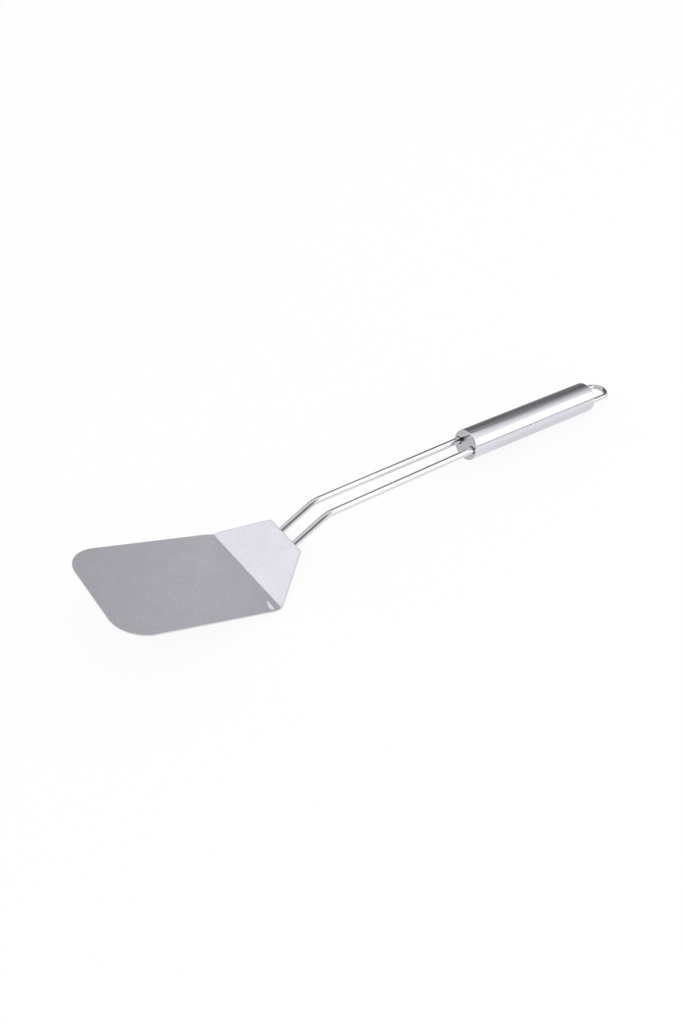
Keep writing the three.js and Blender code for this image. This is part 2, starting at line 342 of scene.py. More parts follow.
def make_piece(name, points, quads, slot, replaces=None, **marks):
    """A smooth object from points and quads. Marks are values at the points, kept for its finish."""
    mesh = bpy.data.meshes.new(name)
    mesh.from_pydata(points.reshape(-1, 3), [], quads)
    for mark, values in marks.items():
        vector = values.shape[-1] == 3
        attribute = mesh.attributes.new(mark, "FLOAT_VECTOR" if vector else "FLOAT", "POINT")
        attribute.data.foreach_set("vector" if vector else "value", values.ravel().astype(np.float32))
    surface = bmesh.new()
    surface.from_mesh(mesh)
    bmesh.ops.remove_doubles(surface, verts=surface.verts, dist=MERGE_DISTANCE)
    open_edges = sum(not edge.is_manifold for edge in surface.edges)
    volume = surface.calc_volume(signed=True) / MM**3
    surface.to_mesh(mesh)
    surface.free()
    mesh.shade_smooth()
    piece = add_to_scene(name, mesh)
    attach(piece, "root")
    report = f"{name}: {len(mesh.polygons)} faces, {open_edges} open edges, {volume:.0f} mm3"
    if replaces:
        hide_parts(replaces)
        ends = np.array([tuple(piece.bound_box[end]) for end in BOX_ENDS])
        cad_ends = np.array([tuple(end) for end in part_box(replaces)])
        report += f", box within {np.abs(ends - cad_ends).max() / MM:.2f} mm of the CAD's"
    print(report)
    return piece


# %% [markdown]
# ## The side view
#
# All the bends lie in the tool's upright middle plane, so one drawing of the side view places every piece.
# It is drawn with the blade level and the heel, where the flats of blade and neck would meet, at its origin.
# The neck climbs from the heel. The rods lie under the neck, follow it to an elbow and run on to the handle,
# which droops a little against them. The sizes are those of the CAD model.

# %% Sizes in the side view
SHEET_THICKNESS = 0.8 * MM
BLADE_WIDTH = 71 * MM
BLADE_LENGTH = 90 * MM
HEEL_BEND_RADIUS = 1.5 * MM  # inside the bend, on the upper face
NECK_LENGTH = 29 * MM
NECK_SLOPE = math.radians(46.3)

ROD_DIAMETER = 4 * MM
ROD_LAP = 10 * MM  # under the neck
ROD_RISE = 24 * MM  # rear edge of the neck to the elbow
ROD_REACH = 105 * MM  # elbow to handle
ROD_TAIL = 12 * MM  # inside the handle
ROD_ELBOW_RADIUS = 15 * MM
ROD_SLOPE = math.radians(19.4)
ROD_OFFSET = 6.25 * MM  # to either side of the middle
WELD_GAP = 0.3 * MM

HANDLE_RADIUS = 9.5 * MM
HANDLE_LENGTH = 102 * MM  # caps included
HANDLE_DROOP = math.radians(1.65)  # against the rods
HANDLE_SLOPE = ROD_SLOPE - HANDLE_DROOP
CAP_THICKNESS = 1.5 * MM
CAP_RIM_RADIUS = 0.4 * MM


def along(slope):
    """Direction of a slope in the side view."""
    return np.array([math.cos(slope), math.sin(slope)])


def across(slope):
    """Direction square to a slope, upwards."""
    return np.array([-math.sin(slope), math.cos(slope)])


half_sheet = SHEET_THICKNESS / 2
heel_radius = HEEL_BEND_RADIUS + half_sheet  # of the sheet's middle layer
heel_reach = heel_radius * math.tan(NECK_SLOPE / 2)  # heel to the end of its bend, on either side
under_neck = -(half_sheet + WELD_GAP + ROD_DIAMETER / 2) * across(NECK_SLOPE)
rod_start = (NECK_LENGTH - ROD_LAP) * along(NECK_SLOPE) + under_neck
elbow = (NECK_LENGTH + ROD_RISE) * along(NECK_SLOPE) + under_neck
handle_seat = elbow + ROD_REACH * along(ROD_SLOPE)
print(f"side view: elbow at {np.round(elbow / MM, 1)} mm, handle from {np.round(handle_seat / MM, 1)} mm")

# %% [markdown]
# The turner lies on the round of its heel and on the lowest round of the handle's rear rim. The table is the
# line that touches both rounds, so its slope in the drawing follows from their centres and radii. Turning
# the drawing by that slope lays the tool down. The CAD model's front edge then says how far to shift it.

# %% Lay the tool on the table
heel_centre = np.array([-heel_reach, heel_radius])
heel_round = heel_radius + half_sheet
rim_centre = (
    handle_seat
    + (HANDLE_LENGTH - CAP_RIM_RADIUS) * along(HANDLE_SLOPE)
    - (HANDLE_RADIUS - CAP_RIM_RADIUS) * across(HANDLE_SLOPE)
)
span = rim_centre - heel_centre
tilt = math.atan2(span[1], span[0]) + math.asin((heel_round - CAP_RIM_RADIUS) / np.hypot(*span))


def tip(points):
    """Turns points of the drawing, given as (along, sideways, up), about the heel by the table's slope."""
    x, y, z = np.moveaxis(points, -1, 0)
    return np.stack([x * math.cos(tilt) + z * math.sin(tilt), y, z * math.cos(tilt) - x * math.sin(tilt)], -1)


front_edge = tip(np.array([[-BLADE_LENGTH, 0, half_sheet], [-BLADE_LENGTH, 0, -half_sheet]]))
lowest = tip(np.array([heel_centre[0], 0, heel_centre[1]]))[2] - heel_round
shift = np.array([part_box("blade")[0].x - front_edge[:, 0].min(), 0, -lowest])


def lay(points):
    """Points of the drawing, moved to where they are when the tool lies on the table."""
    return tip(points) + shift


def on_handle(distance, sideways, up):
    """A place on the handle: how far from its front face, to the side of its axis and up from it."""
    in_plane = handle_seat + distance[..., None] * along(HANDLE_SLOPE) + up[..., None] * across(HANDLE_SLOPE)
    return lay(np.stack([in_plane[..., 0], sideways + 0 * distance, in_plane[..., 1]], -1))


print(f"lying: tipped {math.degrees(tilt):.2f} degrees, shifted {np.round(shift / MM, 2)} mm")

# %% [markdown]
# ## The blade sheet
#
# The blade and its neck are one sheet of 0.8 mm steel, cut to a tapered outline with round corners and then
# bent once at the heel. A box with bevels would need booleans for the outline and a bend modifier for the
# heel. It is simpler to write the flat outline as lines and arcs, to span the sheet between that outline and
# its middle line, and to bend every point by formula.

# %% The flat outline
FRONT_CORNER_RADIUS = 17 * MM
HEEL_CORNER_RADIUS = 18 * MM
NECK_CORNER_RADIUS = 1.6 * MM
NECK_REAR_WIDTH = 30 * MM
CLOSE_ROWS_LENGTH = 6 * MM  # in front of the heel's corners, where the rows lie closer together


def facing(angle):
    """Direction in the flat sheet, by its angle from straight ahead (towards the front edge) to the side."""
    return np.stack([-np.cos(angle), np.sin(angle)], -1)


def edge_line(start, end, angle, count):
    """Points on a straight edge, its end left out, each with the direction that the edge faces."""
    place = np.linspace(start, end, count, endpoint=False)
    return np.hstack([place, np.broadcast_to(facing(angle), place.shape)])


def edge_arc(centre, radius, first, last, count):
    """Points round a corner, its end left out, each facing away from the corner's centre."""
    away = facing(np.linspace(first, last, count, endpoint=False))
    return np.hstack([centre + radius * away, away])


quarter = math.pi / 2
half_width = BLADE_WIDTH / 2
taper = math.atan((half_width - NECK_REAR_WIDTH / 2) / NECK_LENGTH)
front_centre = np.array([-BLADE_LENGTH + FRONT_CORNER_RADIUS, half_width - FRONT_CORNER_RADIUS])
heel_corner = np.array([-HEEL_CORNER_RADIUS * math.tan(taper / 2), half_width - HEEL_CORNER_RADIUS])
neck_corner_at = NECK_LENGTH - NECK_CORNER_RADIUS
neck_corner = np.array(
    [neck_corner_at, half_width - neck_corner_at * math.tan(taper) - NECK_CORNER_RADIUS / math.cos(taper)]
)
sideward = quarter + taper  # the way that the neck's tapered edge faces
front_end = front_centre + FRONT_CORNER_RADIUS * facing(quarter)
heel_start = heel_corner + HEEL_CORNER_RADIUS * facing(quarter)
heel_end = heel_corner + HEEL_CORNER_RADIUS * facing(sideward)
neck_start = neck_corner + NECK_CORNER_RADIUS * facing(sideward)
near_heel = heel_start - [CLOSE_ROWS_LENGTH, 0]

outline_half = np.vstack([  # each line and arc with its number of points
    edge_line([-BLADE_LENGTH, 0], [-BLADE_LENGTH, front_centre[1]], 0, 12),
    edge_arc(front_centre, FRONT_CORNER_RADIUS, 0, quarter, 32),
    edge_line(front_end, near_heel, quarter, 24),
    edge_line(near_heel, heel_start, quarter, 36),
    edge_arc(heel_corner, HEEL_CORNER_RADIUS, quarter, sideward, 110),
    edge_line(heel_end, neck_start, sideward, 30),
    edge_arc(neck_corner, NECK_CORNER_RADIUS, sideward, math.pi, 12),
    edge_line([NECK_LENGTH, neck_corner[1]], [NECK_LENGTH, 0], math.pi, 12),
    np.hstack([[NECK_LENGTH, 0], facing(math.pi)]),
])
near_half = outline_half * [1, -1, 1, -1]
outline = np.vstack([near_half, outline_half[-2:0:-1]])
print(f"outline: {len(outline)} points, taper {math.degrees(taper):.1f} degrees")

# %% Span and bend the sheet
EDGE_ROUND = 0.18 * MM  # the deburred edge
EDGE_WEAR = 0.3 * MM  # how far the dullness of the cut edge reaches
SPINE_MARGIN = 12 * MM  # from the ends of the sheet's middle line to its front and rear edges
ROW_CROWDING = 1.8  # above 1, a face's rows lie closer together towards its edge

HEEL_SHIFT = 0.15 * MM  # of the bend's middle towards the neck
HEEL_SKEW = 0.0187  # how far the bend runs out of square, for each unit to the side
HEEL_FLARE = 0.22 * MM  # how far the bend curves towards the neck at its far end
HEEL_FLARE_WIDTH = 5 * MM
HEEL_PLAY = 0.02 * MM  # keeps the bend clear of the table

LEAF_TIP = np.array([-3.0, -27.0]) * MM  # of the leaf-shaped dent at the near end of the bend, whose pale colour is a painted glint
LEAF_LENGTH = 7.3 * MM
LEAF_WIDTH = 3.3 * MM
LEAF_LEAN = -0.05  # of its foot; below 0 it leans away from the bend
LEAF_DENT_DEPTH = 0.1 * MM
LEAF_SOFT = 0.3 * MM  # width of its sides


def smooth(value, low, high):
    """0 below low, 1 above high, and smooth in between: 3 t^2 - 2 t^3."""
    t = np.clip((value - low) / (high - low), 0, 1)
    return t * t * (3 - 2 * t)


def bend(distance, sideways, up):
    """Bends flat places round the heel.

    A place keeps its height above the middle layer. Over the bend's reach the sheet turns evenly from level
    to the neck's slope, about a centre that is heel_radius above the middle layer. The bend was pressed by
    hand, so its line runs a little out of square and curves at its far end. A bend that comes later would
    reach below the table, so the sheet is raised by as much there, and less and less towards its two ends.
    """
    line = HEEL_SHIFT - HEEL_SKEW * sideways
    line = line + HEEL_FLARE * smooth(sideways, half_width - HEEL_FLARE_WIDTH, half_width)
    turned = np.clip((distance - line + heel_reach) / (2 * heel_reach), 0, 1) * NECK_SLOPE
    on_blade = np.minimum(distance, line - heel_reach)
    on_neck = np.maximum(distance - line - heel_reach, 0)
    x = on_blade + (heel_radius - up) * np.sin(turned) + on_neck * np.cos(turned)
    z = heel_radius - (heel_radius - up) * np.cos(turned) + on_neck * np.sin(turned)
    laid = lay(np.stack([x, sideways, z], -1))
    to_end = np.where(distance < 0, -distance / BLADE_LENGTH, distance / NECK_LENGTH)
    laid[..., 2] += (line * math.sin(tilt) + HEEL_PLAY) * (1 - to_end)
    return laid


def scuff(distance, sideways):
    """How far a place is inside the leaf-shaped dent, whose pale colour is a painted glint, from 0 to 1.

    Along the leaf, t goes from 0 at the tip to 1, and the width grows as sqrt(t (1 - t^8)).
    """
    t = np.clip((LEAF_TIP[1] - sideways) / LEAF_LENGTH, 0, 1)
    width = LEAF_WIDTH * np.sqrt(t * (1 - t**8))
    foot = LEAF_TIP[0] + LEAF_LEAN * t * LEAF_LENGTH
    side_distance = np.minimum(foot - distance, distance - foot + width)
    return smooth(side_distance, 0, LEAF_SOFT)


def blade_sheet():
    """The sheet's closed surface.

    One parameter runs round the outline. The other runs from the middle line over the upper face to the
    edge, round the edge's two small arcs and back under the lower face. A face's points lie between the
    middle line and the outline drawn in by the edge's round.
    """
    place, outward = outline[:, None, :2], outline[:, None, 2:]
    inset = place - EDGE_ROUND * outward
    spine = np.zeros_like(inset)
    spine[..., 0] = np.clip(place[..., 0], -BLADE_LENGTH + SPINE_MARGIN, NECK_LENGTH - SPINE_MARGIN)

    reach = 1 - np.linspace(1, 0, 40) ** ROW_CROWDING
    rounding = np.linspace(quarter, -quarter, 11)[1:-1]
    share = np.concatenate([reach, np.ones_like(rounding), reach[::-1]])
    out = np.concatenate([0 * reach, EDGE_ROUND * np.cos(rounding), 0 * reach])
    edge_up = np.sign(rounding) * (half_sheet - EDGE_ROUND) + EDGE_ROUND * np.sin(rounding)
    up = np.concatenate([half_sheet + 0 * reach, edge_up, -half_sheet + 0 * reach])

    flat = spine + share[:, None] * (inset - spine) + out[:, None] * outward
    distance, sideways = flat[..., 0], flat[..., 1]
    # The leaf is a real dent, and the finish paints a glint in it.
    scuffed = scuff(distance, sideways) * (up > 0)
    lifted = up - LEAF_DENT_DEPTH * scuffed
    to_edge = (1 - share) * np.linalg.norm(inset - spine, axis=-1)
    return (
        bend(distance, sideways, lifted),
        np.stack([distance, sideways, up + 0 * distance], -1),
        np.exp(-to_edge / EDGE_WEAR),
        scuffed,
    )


sheet_points, sheet_places, sheet_edge, sheet_scuff = blade_sheet()
blade = make_piece(
    "blade_sheet",
    sheet_points,
    grid_quads(*sheet_points.shape[:2], rows_closed=True),
    slot="satin_sheet",
    replaces="blade",
    place=sheet_places,
    edge=sheet_edge,
    scuff=sheet_scuff,
)

# %% [markdown]
# ## Bent wires
#
# The two rods and the hanging loop are round wires with one bend each. A curve object with a bevel would do,
# but its bends are only as round as its handles are well placed. Here the centre line is exact: the heading
# stays, turns evenly over the bend and stays again, and the place is the integral of the heading. A circle
# is carried along that line, and its radius closes over a small rounding at each cut end.
#
# Each point also keeps its place on the wire pulled straight, so that drawing lines in the finish can follow
# the bends.

# %% Sweep a wire
WIRE_SIDES = 48
CUT_ROUND = 0.5 * MM  # rounding of a cut end


def wire_rings(radius, first, bent, last):
    """Distances along a wire of its rings and their radii, for two straight runs with a bend between."""
    rounding = np.linspace(0, quarter, 7)
    cut = CUT_ROUND * (1 - np.cos(rounding))
    narrowed = radius - CUT_ROUND * (1 - np.sin(rounding))
    length = first + bent + last
    between = np.concatenate([
        np.linspace(2 * CUT_ROUND, first, 12),
        first + np.linspace(0, bent, 50)[1:],
        np.linspace(first + bent, length - 2 * CUT_ROUND, 16)[1:],
    ])
    stations = np.concatenate([[0], cut, between, length - cut[::-1], [length]])
    radii = np.concatenate([[0], narrowed, radius + 0 * between, narrowed[::-1], [0]])
    return stations, radii


def bent_wire(diameter, start, heading, first, bend_radius, turn, last):
    """Surface of a wire drawn in a plane, as (x, y, height off the plane), and its places pulled straight.

    With curvature k, the heading grows by k times the distance into the bend. Integrating its cosine and
    sine gives (sin(heading) - sin(start)) / k and (cos(start) - cos(heading)) / k.
    """
    curvature = math.copysign(1 / bend_radius, turn)
    bent = abs(turn) * bend_radius
    stations, radii = wire_rings(diameter / 2, first, bent, last)
    into = np.clip(stations - first, 0, bent)
    past = np.maximum(stations - first - bent, 0)
    angle = heading + curvature * into
    x = start[0] + np.minimum(stations, first) * math.cos(heading)
    x = x + (np.sin(angle) - math.sin(heading)) / curvature + past * np.cos(angle)
    y = start[1] + np.minimum(stations, first) * math.sin(heading)
    y = y + (math.cos(heading) - np.cos(angle)) / curvature + past * np.sin(angle)

    round_angle = np.linspace(0, 2 * math.pi, WIRE_SIDES, endpoint=False)
    inward = radii[:, None] * np.cos(round_angle)
    height = radii[:, None] * np.sin(round_angle)
    ring_x = x[:, None] - inward * np.sin(angle)[:, None]
    ring_y = y[:, None] + inward * np.cos(angle)[:, None]
    bent_places = np.stack([ring_x, ring_y, height], -1)
    straight = np.stack([stations[:, None] + 0 * inward, inward, height], -1)
    return bent_places, straight


def make_wire(name, points, straight, replaces):
    """A wire piece from its ring points, closed round its sides and at its two poles."""
    quads = grid_quads(*points.shape[:2], columns_closed=True)
    return make_piece(name, points, quads, slot="polished_wire", replaces=replaces, place=straight)


# %% The two shank rods
ROD_SPREAD = 0.28 * MM  # how much wider the rods stand at the elbow, and narrower at the handle

elbow_turn = ROD_SLOPE - NECK_SLOPE
elbow_reach = ROD_ELBOW_RADIUS * math.tan(abs(elbow_turn) / 2)
rod_plane, rod_straight = bent_wire(
    ROD_DIAMETER,
    rod_start,
    NECK_SLOPE,
    ROD_LAP + ROD_RISE - elbow_reach,
    ROD_ELBOW_RADIUS,
    elbow_turn,
    ROD_REACH + ROD_TAIL - elbow_reach,
)


def shank_rod(side):
    """The drawn rod, moved to one side: height off the drawing's plane points to the near side, -Y.

    The rods lean together a little from the elbow to the handle, so the way to the side shrinks evenly.
    """
    leaning = np.clip((rod_straight[..., 0] - ROD_LAP - ROD_RISE) / ROD_REACH, 0, 1)
    sideways = side * (ROD_OFFSET + ROD_SPREAD * (1 - 2 * leaning))
    return lay(np.stack([rod_plane[..., 0], sideways - rod_plane[..., 2], rod_plane[..., 1]], -1))


rods = [
    make_wire("left_shank", shank_rod(-1), rod_straight, "left_rod"),
    make_wire("right_shank", shank_rod(1), rod_straight, "right_rod"),
]

# %% The hanging loop
LOOP_WIRE = 3 * MM
LOOP_LENGTH = 18 * MM  # rear face to the wire's centre line at the far end
LOOP_TAIL = 10 * MM  # inside the handle
LOOP_OFFSET = 6.25 * MM

loop_leg = LOOP_TAIL + LOOP_LENGTH - LOOP_OFFSET
loop_plane, loop_straight = bent_wire(
    LOOP_WIRE,
    (HANDLE_LENGTH - LOOP_TAIL, -LOOP_OFFSET),
    0.0,
    loop_leg,
    LOOP_OFFSET,
    math.pi,
    loop_leg,
)
loop_points = on_handle(loop_plane[..., 0], loop_plane[..., 1], loop_plane[..., 2])
loop = make_wire("hook_loop", loop_points, loop_straight, "hanging_loop")

# %% [markdown]
# ## The welds
#
# The rods are welded to the underside of the neck, in the gap of 0.3 mm that the CAD model leaves. A weld
# of this kind is a thin strip of metal pressed between rod and sheet. It is a pillow with a rounded plan,
# a little narrower at half height than where it meets the two.

# %% A weld strip under each side of the neck
WELD_LENGTH = 8.6 * MM
WELD_HALF_WIDTH = 1.15 * MM
WELD_SINK = 0.12 * MM  # into the rod and the sheet
WELD_WAIST = 0.15  # share of its width that is missing at half height
WELD_ENDS = 0.125  # share of each half over which its height closes


def weld_strip(sideways):
    """Points of a strip: rows run along it, columns round its section.

    With p from -1 to 1 along the strip, the plan's half width is WELD_HALF_WIDTH sqrt(1 - p^6), a rectangle
    with round corners. Round the section, at an angle a, the height goes as sin a and the width as the power
    0.3 of cos a, which is a rounded rectangle too.
    """
    progress = np.linspace(-1, 1, 41)[:, None]
    plan = WELD_HALF_WIDTH * np.sqrt(1 - progress**6)
    around = np.linspace(0, 2 * math.pi, 24, endpoint=False)
    level = np.sin(around)
    width = np.sign(np.cos(around)) * np.abs(np.cos(around)) ** 0.3 * (1 - WELD_WAIST * (1 - level**2))
    height = (WELD_GAP / 2 + WELD_SINK) * level * np.clip((1 - np.abs(progress)) / WELD_ENDS, 0, 1)
    distance = NECK_LENGTH - ROD_LAP / 2 + WELD_LENGTH / 2 * progress + 0 * around
    up = -half_sheet - WELD_GAP / 2 + height
    return bend(distance, sideways + plan * width, up)


welds = []
for side, sideways in (("left", -ROD_OFFSET - ROD_SPREAD), ("right", ROD_OFFSET + ROD_SPREAD)):
    strip = weld_strip(sideways)
    quads = grid_quads(*strip.shape[:2], columns_closed=True)
    welds.append(make_piece(f"{side}_weld", strip, quads, slot="polished_wire", place=strip))

# %% [markdown]
# ## The handle
#
# The handle is a thin tube closed by two stepped caps. A cap's flange covers the end of the tube, and its
# spigot sits inside it. The tube is a profile turned round the axis. Its outer edges are rounded, and so are
# the rims of the flanges, which catch the light as fine bright lines.
#
# A cap with two holes can't be one simple grid of radius and angle. But each half of it is a ring round its
# own hole: rays from the hole's centre run outwards until they meet the rim or the cap's middle line.

# %% The tube
TUBE_WALL = 0.6 * MM
TUBE_EDGE_ROUND = 0.12 * MM
FLANGE_THICKNESS = 0.45 * MM  # of the part of a cap that shows
FRONT_SEAM = 0.1 * MM  # between tube and cap
REAR_SEAM = 0.05 * MM
TUBE_SIDES = 160


def tube_wall():
    """The wall's profile, (distance, radius), turned round the axis; both directions are closed.

    A point of the profile, turned by an angle a, lies radius cos a to the side and radius sin a up.
    """
    start, end = FLANGE_THICKNESS + FRONT_SEAM, HANDLE_LENGTH - FLANGE_THICKNESS - REAR_SEAM
    rounding = np.linspace(0, quarter, 6)
    drop = TUBE_EDGE_ROUND * (1 - np.sin(rounding))
    ease = TUBE_EDGE_ROUND * (1 - np.cos(rounding))
    outer = np.linspace(start + 3 * TUBE_EDGE_ROUND, end - 3 * TUBE_EDGE_ROUND, 40)
    distance = np.concatenate([start + ease, outer, end - ease[::-1], [end, start]])
    radius = HANDLE_RADIUS - np.concatenate([drop, 0 * outer, drop[::-1], 2 * [TUBE_WALL]])
    angle = np.linspace(0, 2 * math.pi, TUBE_SIDES, endpoint=False)
    sideways, up = radius[:, None] * np.cos(angle), radius[:, None] * np.sin(angle)
    distance = distance[:, None] + 0 * angle
    return on_handle(distance, sideways, up), np.stack([distance, sideways, up], -1)


tube_points, tube_places = tube_wall()
tube = make_piece(
    "handle_barrel",
    tube_points,
    grid_quads(*tube_points.shape[:2], rows_closed=True, columns_closed=True),
    slot="brushed_tube",
    replaces="handle_tube",
    place=tube_places,
)

# %% The caps
FRONT_HOLE_GAP = 0.45 * MM  # round a rod
REAR_HOLE_GAP = 0.35 * MM  # round a leg of the loop
HOLE_ROUND = 0.3 * MM
FACE_RADIUS = HANDLE_RADIUS - CAP_RIM_RADIUS
SPIGOT_RADIUS = 8.75 * MM  # of the part inside the tube
RIM_RAYS = 120  # that meet the rim, from each hole
FACE_ROWS = np.array([0, 0.04, 0.3, 0.7, 0.97, 1])[:, None, None]  # shares of the way from hole to rim


def half_rays(hole_offset, count):
    """Directions of rays from a hole's centre, the distance at which each leaves the half disc, and whether
    it leaves at the rim.

    A ray at an angle t from straight outwards meets the face's circle at
    sqrt(FACE_RADIUS^2 - (offset sin t)^2) - offset cos t, and the middle line at -offset / cos t.
    """
    corner = math.atan2(FACE_RADIUS, -hole_offset)
    at_rim = np.linspace(-corner, corner, count)
    at_middle = np.linspace(corner, 2 * math.pi - corner, count // 2)[1:-1]
    angle = np.concatenate([at_rim, at_middle])
    to_rim = np.sqrt(FACE_RADIUS**2 - (hole_offset * np.sin(at_rim)) ** 2) - hole_offset * np.cos(at_rim)
    leaves = np.concatenate([to_rim, -hole_offset / np.cos(at_middle)])
    return np.stack([np.cos(angle), np.sin(angle)], -1), leaves, np.arange(len(angle)) < count


def cap_plate(hole, hole_offset):
    """Points of a cap as (depth behind its face, sideways, up), and the quads of both its halves.

    The hole is given by its radius and by how far its centre is off the middle.
    Columns are rays. Rows run over the face from the hole to the rim, round the rim and over the step to the
    spigot, back over the rear face and through the hole. Rays that end at the middle line have no rim,
    because there the other half goes on.
    """
    rays, leaves, at_rim = half_rays(hole_offset, RIM_RAYS)
    centre = np.array([hole_offset, 0])
    boundary = centre + leaves[:, None] * rays
    rounding = np.linspace(0, quarter, 9)

    hole_edge = centre + (hole + HOLE_ROUND) * rays
    face = hole_edge + FACE_ROWS * (boundary - hole_edge)

    step_radius = [HANDLE_RADIUS, SPIGOT_RADIUS, SPIGOT_RADIUS]  # from the flange to the spigot's end
    step_depth = [FLANGE_THICKNESS, FLANGE_THICKNESS, CAP_THICKNESS]
    rim_radius = np.append(FACE_RADIUS + CAP_RIM_RADIUS * np.sin(rounding[1:]), step_radius)
    rim_depth = np.append(CAP_RIM_RADIUS * (1 - np.cos(rounding[1:])), step_depth)
    rim = boundary * (rim_radius / FACE_RADIUS)[:, None, None]

    bore = centre + hole * rays
    rear = bore + FACE_ROWS[-2::-1] * (rim[-1] - bore)
    wall_radius = hole + HOLE_ROUND * (1 - np.sin(rounding[:0:-1]))
    wall_depth = HOLE_ROUND * (1 - np.cos(rounding[:0:-1]))
    wall = centre + wall_radius[:, None, None] * rays

    flat = np.concatenate([face, rim, rear, wall])
    depth = np.concatenate([np.zeros(len(face)), rim_depth, np.full(len(rear), CAP_THICKNESS), wall_depth])
    half = np.concatenate([np.broadcast_to(depth[:, None, None], (*flat.shape[:2], 1)), flat], -1)
    rim_rows = range(len(face) - 1, len(face) + len(rim))

    def half_quads(has_rim):
        """Quads of one half, without a rim where its rays end at the middle line."""
        quads = grid_quads(*half.shape[:2], rows_closed=True, columns_closed=True)
        row, column = np.divmod(quads, half.shape[1])
        on_rim = np.all(np.isin(row, rim_rows), axis=1)
        return quads[~on_rim | np.all(has_rim[column], axis=1)]

    other_half = half[:, ::-1] * [1, -1, 1]
    other_quads = half_quads(at_rim[::-1]) + half.shape[0] * half.shape[1]
    return np.stack([half, other_half]), np.vstack([half_quads(at_rim), other_quads])


front_places, front_quads = cap_plate(ROD_DIAMETER / 2 + FRONT_HOLE_GAP, ROD_OFFSET - ROD_SPREAD)
rear_places, rear_quads = cap_plate(LOOP_WIRE / 2 + REAR_HOLE_GAP, LOOP_OFFSET)
front_cap = make_piece(
    "front_cap_plate",
    on_handle(front_places[..., 0], front_places[..., 1], front_places[..., 2]),
    front_quads,
    slot="polished_cap",
    replaces="front_cap",
    place=front_places,
)
rear_cap = make_piece(
    "rear_cap_plate",
    on_handle(HANDLE_LENGTH - rear_places[..., 0], -rear_places[..., 1], rear_places[..., 2]),
    rear_quads,
    slot="polished_cap",
    replaces="rear_cap",
    place=rear_places,
)

# %% [markdown]
# ## Finishes
#
# All the pieces are bare stainless steel, so every finish is a metal with a grey of its own. They differ in
# how the surface was worked, which shows in the roughness and in fine relief. Each finish reads the places
# that its piece keeps from its making, so that its lines follow the sheet, the wire or the turning.

# %% Steel from a pattern
def steel(name, pattern):
    """A bare metal. The pattern gives its look, by the shader's sockets, and a relief with its depth."""
    material = bpy.data.materials.new(name)
    tree = Tree(material)
    place = tree.node("Attribute", {"attribute_name": "place"}, output="Vector")
    look, relief, depth = pattern(tree, place)
    normal = tree.node("Bump", {}, {"Height": relief, "Distance": depth, "Strength": 1.0})
    surface = {"Metallic": 1.0, **look, "Normal": normal}
    tree.node("OutputMaterial", {}, {"Surface": tree.node("BsdfPrincipled", {}, surface)})
    return material


def apply_finish(pattern, pieces):
    """Gives these pieces the steel that the pattern describes."""
    material = steel(pattern.__name__, pattern)
    for piece in pieces:
        piece.data.materials.append(material)
    print(f"{material.name}: on {', '.join(piece.name for piece in pieces)}")


# %% [markdown]
# Rolled sheet is matt, so the blade needs little more than grain. Three traces tell of its making: the cut
# edge is duller than the faces, the press left a small dent beside the bend, and the heat of the welds left
# pale marks on the neck. Such a mark is an oval: the places are moved, turned and scaled until it is a ball
# with a radius of 1. The pale, less metallic leaf in the dent is a painted glint.

# %% Satin sheet
SHEET_DARK, SHEET_LIGHT = (0.785, 0.774, 0.86, 1), (0.945, 0.931, 1.0, 1)
# A painted glint: the pale colour of the leaf in the dent beside the bend.
PAINTED_GLINT_COLOUR = (0.70, 0.69, 0.73, 1)
CUT_EDGE_COLOUR = (0.68, 0.67, 0.69, 1)
UNLIMITED = 1  # half size, in metres, along an axis on which a mark has no limit
WELD_MARK_STRENGTH = 0.2
WELD_MARKS = (  # middle and half size: along the sheet, across and through it
    ((24 * MM, 4 * MM, 0), (5 * MM, 6.5 * MM, UNLIMITED)),
    ((21.5 * MM, -13 * MM, 0), (6.5 * MM, 5 * MM, UNLIMITED)),
)
OVAL_END = 1.05  # where the soft edge of an oval ends, as a share of its size


def oval(tree, place, centre, half_size, turn=(0, 0, 0), core=0.8):
    """1 inside an oval and 0 outside it, with a soft edge from the core's share of its size outwards."""
    shape = {"Vector": place, "Location": centre, "Rotation": turn, "Scale": half_size}
    in_sizes = tree.node("Mapping", {"vector_type": "TEXTURE"}, shape)
    away = tree.node("VectorMath", {"operation": "LENGTH"}, {"Vector": in_sizes}, "Value")
    return 1 - tree.ramp(away, core, OVAL_END)


def satin_grain(tree, place):
    """Rolled sheet: fine matt grain, faint rolling lines, a dull cut edge, a painted glint in the dent beside
    the bend, and the pale marks that the heat of the two welds left on the neck.
    """
    grain = tree.noise(place, [0.8 * MM] * 3)
    clouds = tree.noise(place, [22 * MM] * 3, detail=1)
    rolled = tree.noise(place, [12 * MM, 0.7 * MM, 5 * MM])
    edge = tree.node("Attribute", {"attribute_name": "edge"}, output="Fac")
    scuffed = tree.node("Attribute", {"attribute_name": "scuff"}, output="Fac")
    light = 0.5 + 1.7 * (grain - 0.5) + 0.6 * (clouds - 0.5) + 0.4 * (rolled - 0.5)
    for centre, half_size in WELD_MARKS:
        light = light + WELD_MARK_STRENGTH * oval(tree, place, centre, half_size)
    sheet = tree.mix(light, SHEET_DARK, SHEET_LIGHT)
    # The leaf's pale colour and its lower metallic share are a painted glint.
    with_painted_glint = tree.mix(scuffed, sheet, PAINTED_GLINT_COLOUR)
    look = {
        "Base Color": tree.mix(0.8 * edge, with_painted_glint, CUT_EDGE_COLOUR),
        "Roughness": 0.32 + 0.12 * (grain - 0.5) + 0.08 * (rolled - 0.5) + 0.1 * edge + 0.4 * scuffed,
        "Metallic": 1 - 0.9 * scuffed,
    }
    return look, grain + 0.5 * rolled, 0.02 * MM


apply_finish(satin_grain, [blade])

